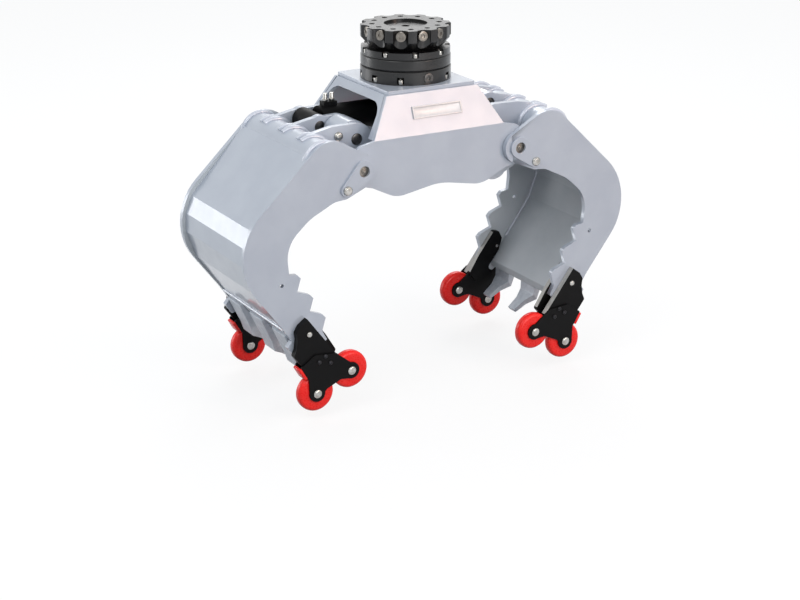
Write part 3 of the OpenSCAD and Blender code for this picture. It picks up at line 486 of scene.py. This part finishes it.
plain = []
for name in sorted(frame["nodes"]):
    if name.endswith("_digging_teeth"):
        continue
    bm = merged(name)
    bm.verts.index_update()
    parts = {"soft_" + name: (bm, LOOK.get(name, slot_of[name]))}
    if name in ("left_bolts", "right_bolts"):
        parts["black_" + name] = (split(bm, bracket_screw), "black_screw")
    elif name.endswith("_cheeks"):
        outer = trimmed_cheeks(split(bm, outer_cheek), side_of(name))
        parts["outer_" + name] = (outer, "black_paint")
    elif name.endswith("_lip"):
        ground_bar(bm)
    elif name == "nameplate":
        rimmed_plate(bm)
    for title, (shape, look) in parts.items():
        made = softened(name, shape)
        if made is None:
            made = merged(name)
            plain.append(name)
        obj = finish_mesh(object_from(made, title), look, body_of[name])
        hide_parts(name)
        if name.endswith("_cheeks"):
            bare_edges_and_highlight(obj, name)
        if name.endswith(("_back_sheet", "_lip", "_front_side", "_rear_side")):
            paint_shade_inside(obj, name)
        if slot_of[name] in ("grey_paint", "black_paint"):
            obj.modifiers.new("even", "WEIGHTED_NORMAL").keep_sharp = True
print(len(pieces), "bevelled pieces; without a bevel:", plain)

# %% [markdown]
# ## Weld beads
# The lugs sit on the torque tube with a fillet weld on each side, the tube meets the side plates
# with another, and the back sheet is welded to the side plates along its inner face. A bead is a
# raised, slightly rippled rope of metal, half sunk in the corner. A small circle is spun round
# the tube's axis for the round beads and extruded from bend to bend for the long ones.


# %%
# Round and long beads
# Torque tube: middle in x and z, and radius. A bead's middle lies BEAD_OUT outside the tube
TUBE_C, TUBE_R, BEAD_OUT = (382, -327), 60, 1.5
# Inner face of the side plates in y, and the outer face of the back sheet in x and z
SIDE_IN = 204.5
SHEET = [(445, -305), (613, -490), (634, -541), (636, -598), (606, -680), (516.6, -802.7)]
SHEET_T = 22
SEAM_AT = (517.5, -803.4)
# Lugs in y, half their thickness, and the arc in degrees over which they touch the tube
LUG_Y, LUG_HALF, LUG_ARC = (-118, 0, 118), 12, (58, 232)
# Bead radii: at a lug, beside the rod's eye, at the tube's ends, in long seams
LUG_BEAD, ROD_BEAD, END_BEAD, LONG_BEAD = 8, 4, 7, 5
JAWS = ((-1, "left"), (1, "right"))


def inside_of(points, depth):
    """The points of a bent sheet's inner face, a depth inside its outer face."""
    path = [Vector(p) for p in points]
    inner = []
    for before, at, after in zip([None] + path[:-1], path, path[1:] + [None]):
        runs = [(b - a).normalized() for a, b in ((before, at), (at, after)) if a and b]
        normals = [Vector((run.y, -run.x)) for run in runs]
        middle = sum(normals, Vector((0, 0))).normalized()
        inner.append(at + middle * depth / middle.dot(normals[0]))
    return inner


def close_ends(bm):
    """Caps the open ends of a tube."""
    bmesh.ops.holes_fill(bm, edges=[e for e in bm.edges if len(e.link_faces) == 1])


def round_bead(name, side, y, bead, low, high, body):
    """A bead round the torque tube at y, from the angle low to high about its axis."""
    bm = bmesh.new()
    along = Vector((0, 1, 0))
    centre = Vector((side * TUBE_C[0], y, TUBE_C[1])) * MM
    start = math.radians(low)
    out = Vector((side * math.cos(start), 0, math.sin(start)))
    made = bmesh.ops.create_circle(bm, cap_ends=False, segments=10, radius=bead * MM)
    turn = Matrix((out, along, out.cross(along))).transposed().to_4x4()
    shift = Matrix.Translation(centre + out * (TUBE_R + BEAD_OUT) * MM)
    bmesh.ops.transform(bm, matrix=shift @ turn, verts=made["verts"])
    full = high - low >= 360
    bmesh.ops.spin(bm, geom=bm.verts[:] + bm.edges[:], cent=centre, axis=along, dvec=(0, 0, 0),
                   angle=math.radians(low - high) * side, steps=max(8, int((high - low) / 7.5)),
                   use_merge=full, use_normal_flip=False, use_duplicate=False)
    if not full:
        close_ends(bm)
    bmesh.ops.remove_doubles(bm, verts=bm.verts[:], dist=1e-6)
    bmesh.ops.recalc_face_normals(bm, faces=bm.faces[:])
    return finish_mesh(object_from(bm, name), "weld", body, 60)


def long_bead(name, points, bead, body):
    """A bead along points: a circle extruded from bend to bend and turned there."""
    bm = bmesh.new()
    path = [Vector(p) * MM for p in points]
    heading = (path[1] - path[0]).normalized()
    side = Vector((1, 0, 0)) if abs(heading.y) > 0.9 else Vector((0, 1, 0))
    made = bmesh.ops.create_circle(bm, cap_ends=False, segments=8, radius=bead * MM)
    turn = Matrix((side, heading.cross(side), heading)).transposed().to_4x4()
    bmesh.ops.transform(bm, matrix=Matrix.Translation(path[0]) @ turn, verts=made["verts"])
    rim = bm.edges[:]
    for before, at, after in zip(path, path[1:], path[2:] + [None]):
        made = bmesh.ops.extrude_edge_only(bm, edges=rim)["geom"]
        ring = [g for g in made if isinstance(g, bmesh.types.BMVert)]
        rim = [g for g in made if isinstance(g, bmesh.types.BMEdge)
               and g.verts[0] in ring and g.verts[1] in ring]
        bmesh.ops.translate(bm, verts=ring, vec=at - before)
        if after:
            ahead = (after - at).normalized()
            bend = heading.rotation_difference(ahead).to_matrix()
            bmesh.ops.rotate(bm, verts=ring, cent=at, matrix=bend)
            heading = ahead
    close_ends(bm)
    bmesh.ops.recalc_face_normals(bm, faces=bm.faces[:])
    return finish_mesh(object_from(bm, name), "weld", body, 60)


beads = []
for side, jaw in JAWS:
    body = body_of[jaw + "_torque_tube"]
    for lug in LUG_Y:
        for tag, y in (("m", lug - LUG_HALF), ("p", lug + LUG_HALF)):
            bead = ROD_BEAD if side > 0 and 0 < y < LUG_Y[2] else LUG_BEAD
            name = f"bead_{jaw}_lug_{lug - LUG_Y[0]}{tag}"
            beads.append(round_bead(name, side, y, bead, *LUG_ARC, body))
    for tag, end in (("front", -1), ("rear", 1)):
        y = end * (SIDE_IN - 2.5)
        beads.append(round_bead(f"bead_{jaw}_tube_{tag}", side, y, END_BEAD, 0, 360, body))
        inner = inside_of(SHEET, SHEET_T + 1)
        corner = [(side * x, end * (SIDE_IN - 1.5), z) for x, z in inner]
        beads.append(long_bead(f"bead_{jaw}_corner_{tag}", corner, LONG_BEAD, body))
    seam = [(side * SEAM_AT[0], y, SEAM_AT[1]) for y in (-SIDE_IN, 0, SIDE_IN)]
    beads.append(long_bead(f"bead_{jaw}_seam", seam, LONG_BEAD, body))
print(len(beads), "weld beads, the first", round(beads[0].dimensions.x / MM), "mm wide")

# %% [markdown]
# ## Digging teeth
# Each jaw has three cast teeth welded under its cutting edge bar. A wide strap lies on the bar's
# outer face, narrows to a neck and ends in a blunt chisel tip. The shape is lofted: at each
# station a loop of four corners is put where the casting's section is, and neighbouring loops
# are bridged. A bevel rounds the edges as the mould does.


# %%
# Lofted teeth
# Each station in x and z: a point of the inner face, one of the outer face, and half the width
TOOTH_STATIONS = [((503.7, -820.4), (511.8, -826.3), 46), ((453.2, -890.2), (475, -906), 41),
                  ((451, -915), (466, -934), 39), ((425.1, -935.3), (436.3, -949.9), 22),
                  ((390.7, -962), (398.4, -972), 18)]
TOOTH_PITCH = 150
OUTER_SHARE = 0.9


def tooth(bm, side, y):
    """One tooth: four corners at each station, skinned from station to station and capped."""
    rings = []
    for (xa, za), (xb, zb), half in TOOTH_STATIONS:
        outer = half * OUTER_SHARE
        places = [(xa, -half, za), (xb, -outer, zb), (xb, outer, zb), (xa, half, za)]
        verts = [bm.verts.new(Vector((side * x, y + w, z)) * MM) for x, w, z in places]
        rings.append([bm.edges.new((verts[k], verts[(k + 1) % 4])) for k in range(4)])
    for before, after in zip(rings, rings[1:]):
        bmesh.ops.bridge_loops(bm, edges=before + after)
    for ring in (rings[0], rings[-1]):
        bmesh.ops.edgeloop_fill(bm, edges=ring)


for side, jaw in JAWS:
    node = jaw + "_digging_teeth"
    bm = bmesh.new()
    for y in (-TOOTH_PITCH, 0, TOOTH_PITCH):
        tooth(bm, side, y)
    bmesh.ops.recalc_face_normals(bm, faces=bm.faces[:])
    bmesh.ops.bevel(bm, geom=[e for e in bm.edges if e.calc_face_angle() > math.radians(40)],
                    offset=1.5 * MM, offset_type="OFFSET", affect="EDGES", segments=2, profile=0.5,
                    material=-1, clamp_overlap=True)
    closed = all(len(e.link_faces) == 2 for e in bm.edges)
    print(jaw, "teeth closed:", closed, "volume", round(bm.calc_volume() / MM ** 3), "mm3")
    teeth = finish_mesh(object_from(bm, "teeth_" + jaw), "tooth_steel", body_of[node],
                        12)
    teeth.modifiers.new("even", "WEIGHTED_NORMAL").keep_sharp = True
    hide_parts(node)

# %% [markdown]
# ## Studio
# The camera stands where the photograph was taken from: an 84 mm lens 5.6 m away, 20 degrees
# above the horizon. The light is a bright overcast room: a pale world that is brightest overhead
# and dimmest on the left, a large soft panel above and to the left, one in front, and a smaller
# warm one whose reflection brightens the frame's front slope. One more panel stands where the
# second facet of the left jaw's back sheet reflects it, and one lights the tool from behind.


# %%
# Camera
LENS = 84.215
CAMERA_AT = Vector((-2717.12, -4724.57, 1077.99)) * MM
CAMERA_BACK = Vector((-0.4672, -0.8180, 0.3358)).normalized()

camera = bpy.data.objects.new("camera", bpy.data.cameras.new("camera"))
bpy.context.scene.collection.objects.link(camera)
camera.data.lens = LENS
camera.data.sensor_width = 36
right = Vector((0, 0, 1)).cross(CAMERA_BACK).normalized()
axes = Matrix((right, CAMERA_BACK.cross(right), CAMERA_BACK)).transposed().to_4x4()
camera.matrix_world = Matrix.Translation(CAMERA_AT) @ axes
bpy.context.scene.camera = camera
print("Lens", camera.data.lens, "mm, camera at", [round(v, 3) for v in camera.location])


# %%
# Lamps
MIDDLE = (0, 0, -0.5)
# Each panel in metres and watts: place, target, size, power and colour
PANELS = {"key": ((-3.4, -1.6, 3.4), MIDDLE, 2.4, 55, "#FFFFFF"),
          "front": ((0.3, -6.0, 0.9), MIDDLE, 2.6, 82, "#FFFFFF"),
          "slope": ((2.27, -4.19, 1.27), (0, -0.19, -0.22), 1.3, 47, "#FFDAC6"),
          "flash": ((-3.0, 3.4, -0.28), (-0.62, 0, -0.55), 1.5, 27, "#FFFFFF"),
          "rim": ((2.0, 3.5, 2.5), MIDDLE, 2.0, 46, "#FFFFFF")}


def panel(name, place, target, size, power, colour):
    """A square soft panel that faces its target."""
    lamp = bpy.data.lights.new(name, "AREA")
    lamp.size = size
    lamp.energy = power
    lamp.color = linear(colour)[:3]
    obj = bpy.data.objects.new(name, lamp)
    bpy.context.scene.collection.objects.link(obj)
    obj.location = place
    obj.rotation_euler = (Vector(place) - Vector(target)).to_track_quat("Z", "Y").to_euler()


for name, values in PANELS.items():
    panel(name, *values)
print(len(PANELS), "panels,", sum(values[3] for values in PANELS.values()), "W in all")

# %%
# World: white to the camera and in reflections, and a graded sky to scattered light
SKY_UP, SKY_DIM, SKY_BRIGHT = (0.32, 0, 0.95), 0.40, 0.98

world = bpy.data.worlds.new("studio")
bpy.context.scene.world = world
world.use_nodes = True
sky = world.node_tree
sky.nodes.clear()
rays = add(sky, "ShaderNodeLightPath").outputs
seen = add(sky, "ShaderNodeMath",
           [(0, rays["Is Camera Ray"]), (1, rays["Is Glossy Ray"])], operation="MAXIMUM")
seen = add(sky, "ShaderNodeMath",
           [(0, seen.outputs["Value"]), (1, rays["Is Transmission Ray"])], operation="MAXIMUM")
place = add(sky, "ShaderNodeTexCoord")
height = add(sky, "ShaderNodeVectorMath", [(0, place.outputs["Generated"]), (1, SKY_UP)],
             operation="DOT_PRODUCT")
strength = spread(sky, height.outputs["Value"], SKY_DIM, SKY_BRIGHT, -0.3, 0.8)
light = add(sky, "ShaderNodeBackground", [("Color", linear("#F2F7FC")), ("Strength", strength)])
white = add(sky, "ShaderNodeBackground", [("Color", (1, 1, 1, 1)), ("Strength", 1.0)])
mix = add(sky, "ShaderNodeMixShader",
          [("Fac", seen.outputs["Value"]), (1, light.outputs[0]), (2, white.outputs[0])])
add(sky, "ShaderNodeOutputWorld", [("Surface", mix.outputs["Shader"])])
bpy.context.scene.view_settings.view_transform = "Standard"
print("World light from", SKY_DIM, "to", SKY_BRIGHT)

# %% [markdown]
# ## Floor
# The floor is white to the eye and to reflections, with the tool's shadow on it. To scattered
# light it is a mid grey, because a white floor would light the inside of the jaws from below and
# take away the dark hollows that give the tool its depth. It lies a little below the rollers,
# which reach about 20 mm lower while the jaws close.

# %%
# Floor: white to the camera, grey to scattered light
FLOOR_GAP = 24
# How much of what the camera sees of the floor is plain white, without shadow
PLAIN_SHARE = 0.8

bm = bmesh.new()
bmesh.ops.create_grid(bm, x_segments=1, y_segments=1, size=30,
                      matrix=Matrix.Translation((0, 0, cad_box[0].z - FLOOR_GAP * MM)))
floor = object_from(bm, "floor")
material, tree, shader = new_material("floor")
shader.inputs["Roughness"].default_value = 0.9
rays = add(tree, "ShaderNodeLightPath").outputs
tint = add(tree, "ShaderNodeMix", [("Factor", rays["Is Diffuse Ray"])], data_type="RGBA")
tint.inputs[6].default_value = linear("#F8F8F8")
tint.inputs[7].default_value = linear("#55595C")
tree.links.new(tint.outputs[2], shader.inputs["Base Color"])
plain_white = add(tree, "ShaderNodeEmission", [("Color", (1, 1, 1, 1)), ("Strength", 1.0)])
part = add(tree, "ShaderNodeMath", [(0, rays["Is Camera Ray"]), (1, PLAIN_SHARE)],
           operation="MULTIPLY")
blend = add(tree, "ShaderNodeMixShader", [("Fac", part.outputs["Value"]),
                                          (1, shader.outputs["BSDF"]),
                                          (2, plain_white.outputs["Emission"])])
output = next(n for n in tree.nodes if n.bl_idname == "ShaderNodeOutputMaterial")
tree.links.new(blend.outputs["Shader"], output.inputs["Surface"])
floor.data.materials.append(material)
print("Floor", FLOOR_GAP, "mm under the rollers")
